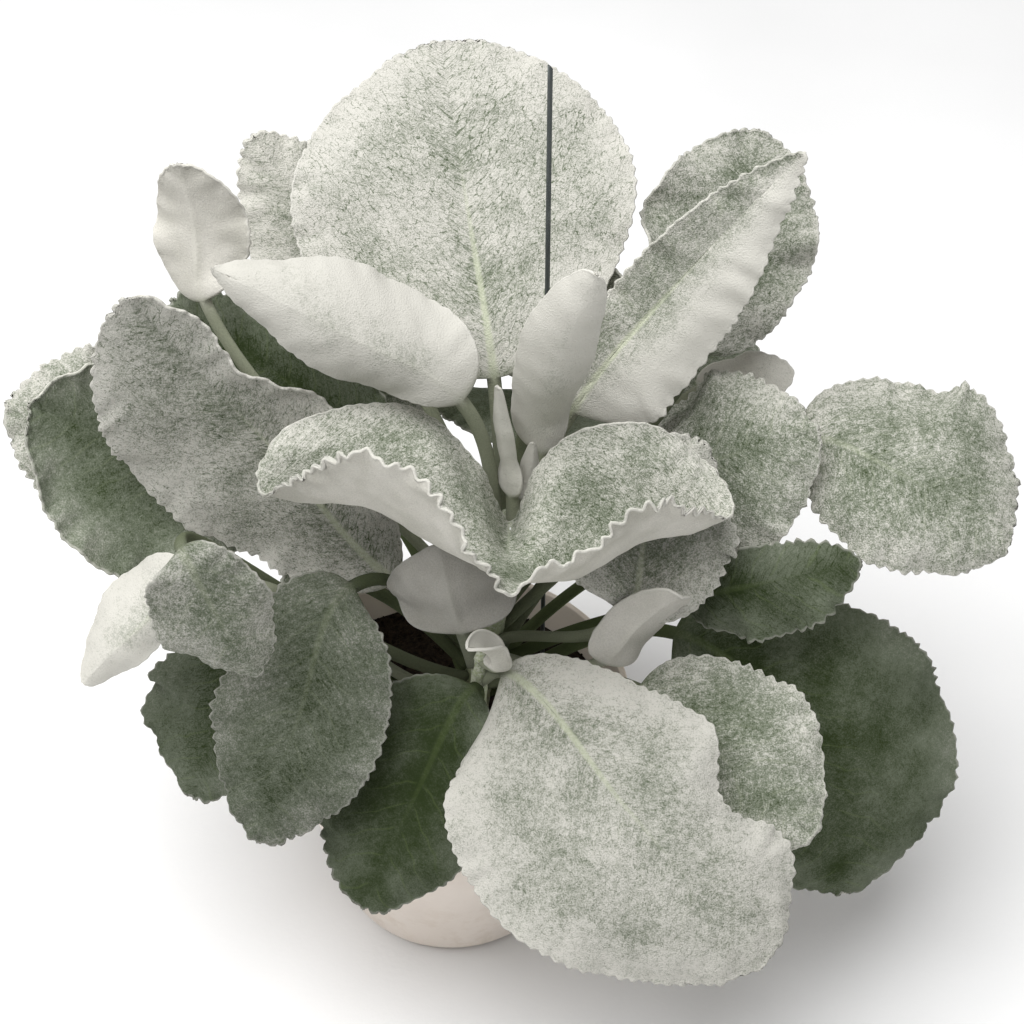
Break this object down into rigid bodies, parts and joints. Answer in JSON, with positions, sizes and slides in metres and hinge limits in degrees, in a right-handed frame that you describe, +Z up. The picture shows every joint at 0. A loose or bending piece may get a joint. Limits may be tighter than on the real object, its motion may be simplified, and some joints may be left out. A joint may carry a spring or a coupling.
{
  "type": "potted senecio candicans plant",
  "caption": "Potted foliage plant with broad, felted silver-white leaves on pale petioles, growing in a plain off-white tapered pot with dark soil and a slim support wire.",
  "frame": {"origin": "centre of the pot's flat underside, where the pot rests", "axes": "+Z up along the pot's axis, -Y towards the side that the picture shows, +X to that side's right"},
  "size_m": [0.5149, 0.4318, 0.525],
  "materials": {
    "pot": "satin",
    "soil": "matte",
    "stem": "matte",
    "wire": "satin",
    "leaf_green": "matte",
    "leaf_grey": "matte",
    "leaf_white": "matte"
  },
  "bodies": {
    "root": {"pot": "pot", "soil": "soil", "stem_main": "stem", "stem_front": "stem", "support_wire": "wire", "leaf_crown_back": "leaf_grey", "leaf_crown_left": "leaf_white", "leaf_crown_front": "leaf_grey", "leaf_crown_right": "leaf_grey", "leaf_crown_inner": "leaf_white", "bud_middle": "leaf_white", "bud_right": "leaf_white", "leaf_right_inner": "leaf_grey", "leaf_right_mid": "leaf_grey", "leaf_right_far": "leaf_grey", "leaf_right_back": "leaf_grey", "leaf_behind_inner": "leaf_grey", "leaf_behind_pale": "leaf_white", "leaf_left_back_turned": "leaf_white", "leaf_left_back": "leaf_grey", "leaf_left_shaded": "leaf_green", "leaf_left_great": "leaf_grey", "leaf_left_green": "leaf_green", "leaf_left_outer": "leaf_grey", "leaf_left_pointed": "leaf_white", "leaf_left_lobed": "leaf_grey", "leaf_left_low": "leaf_green", "leaf_left_small": "leaf_grey", "leaf_front_left": "leaf_grey", "leaf_front_green": "leaf_green", "leaf_front_great": "leaf_white", "leaf_front_right": "leaf_grey", "leaf_right_green": "leaf_green", "leaf_right_dark": "leaf_green", "leaf_right_young": "leaf_white", "leaf_front_cupped": "leaf_white", "leaf_front_bud": "leaf_white", "leaf_far_right_high": "leaf_grey", "leaf_far_right_low": "leaf_green", "leaf_far_back_high": "leaf_grey", "leaf_far_back_low": "leaf_green", "leaf_far_left_high": "leaf_grey", "leaf_far_left_low": "leaf_green", "leaf_far_left_side": "leaf_grey"}
  },
  "joints": []
}
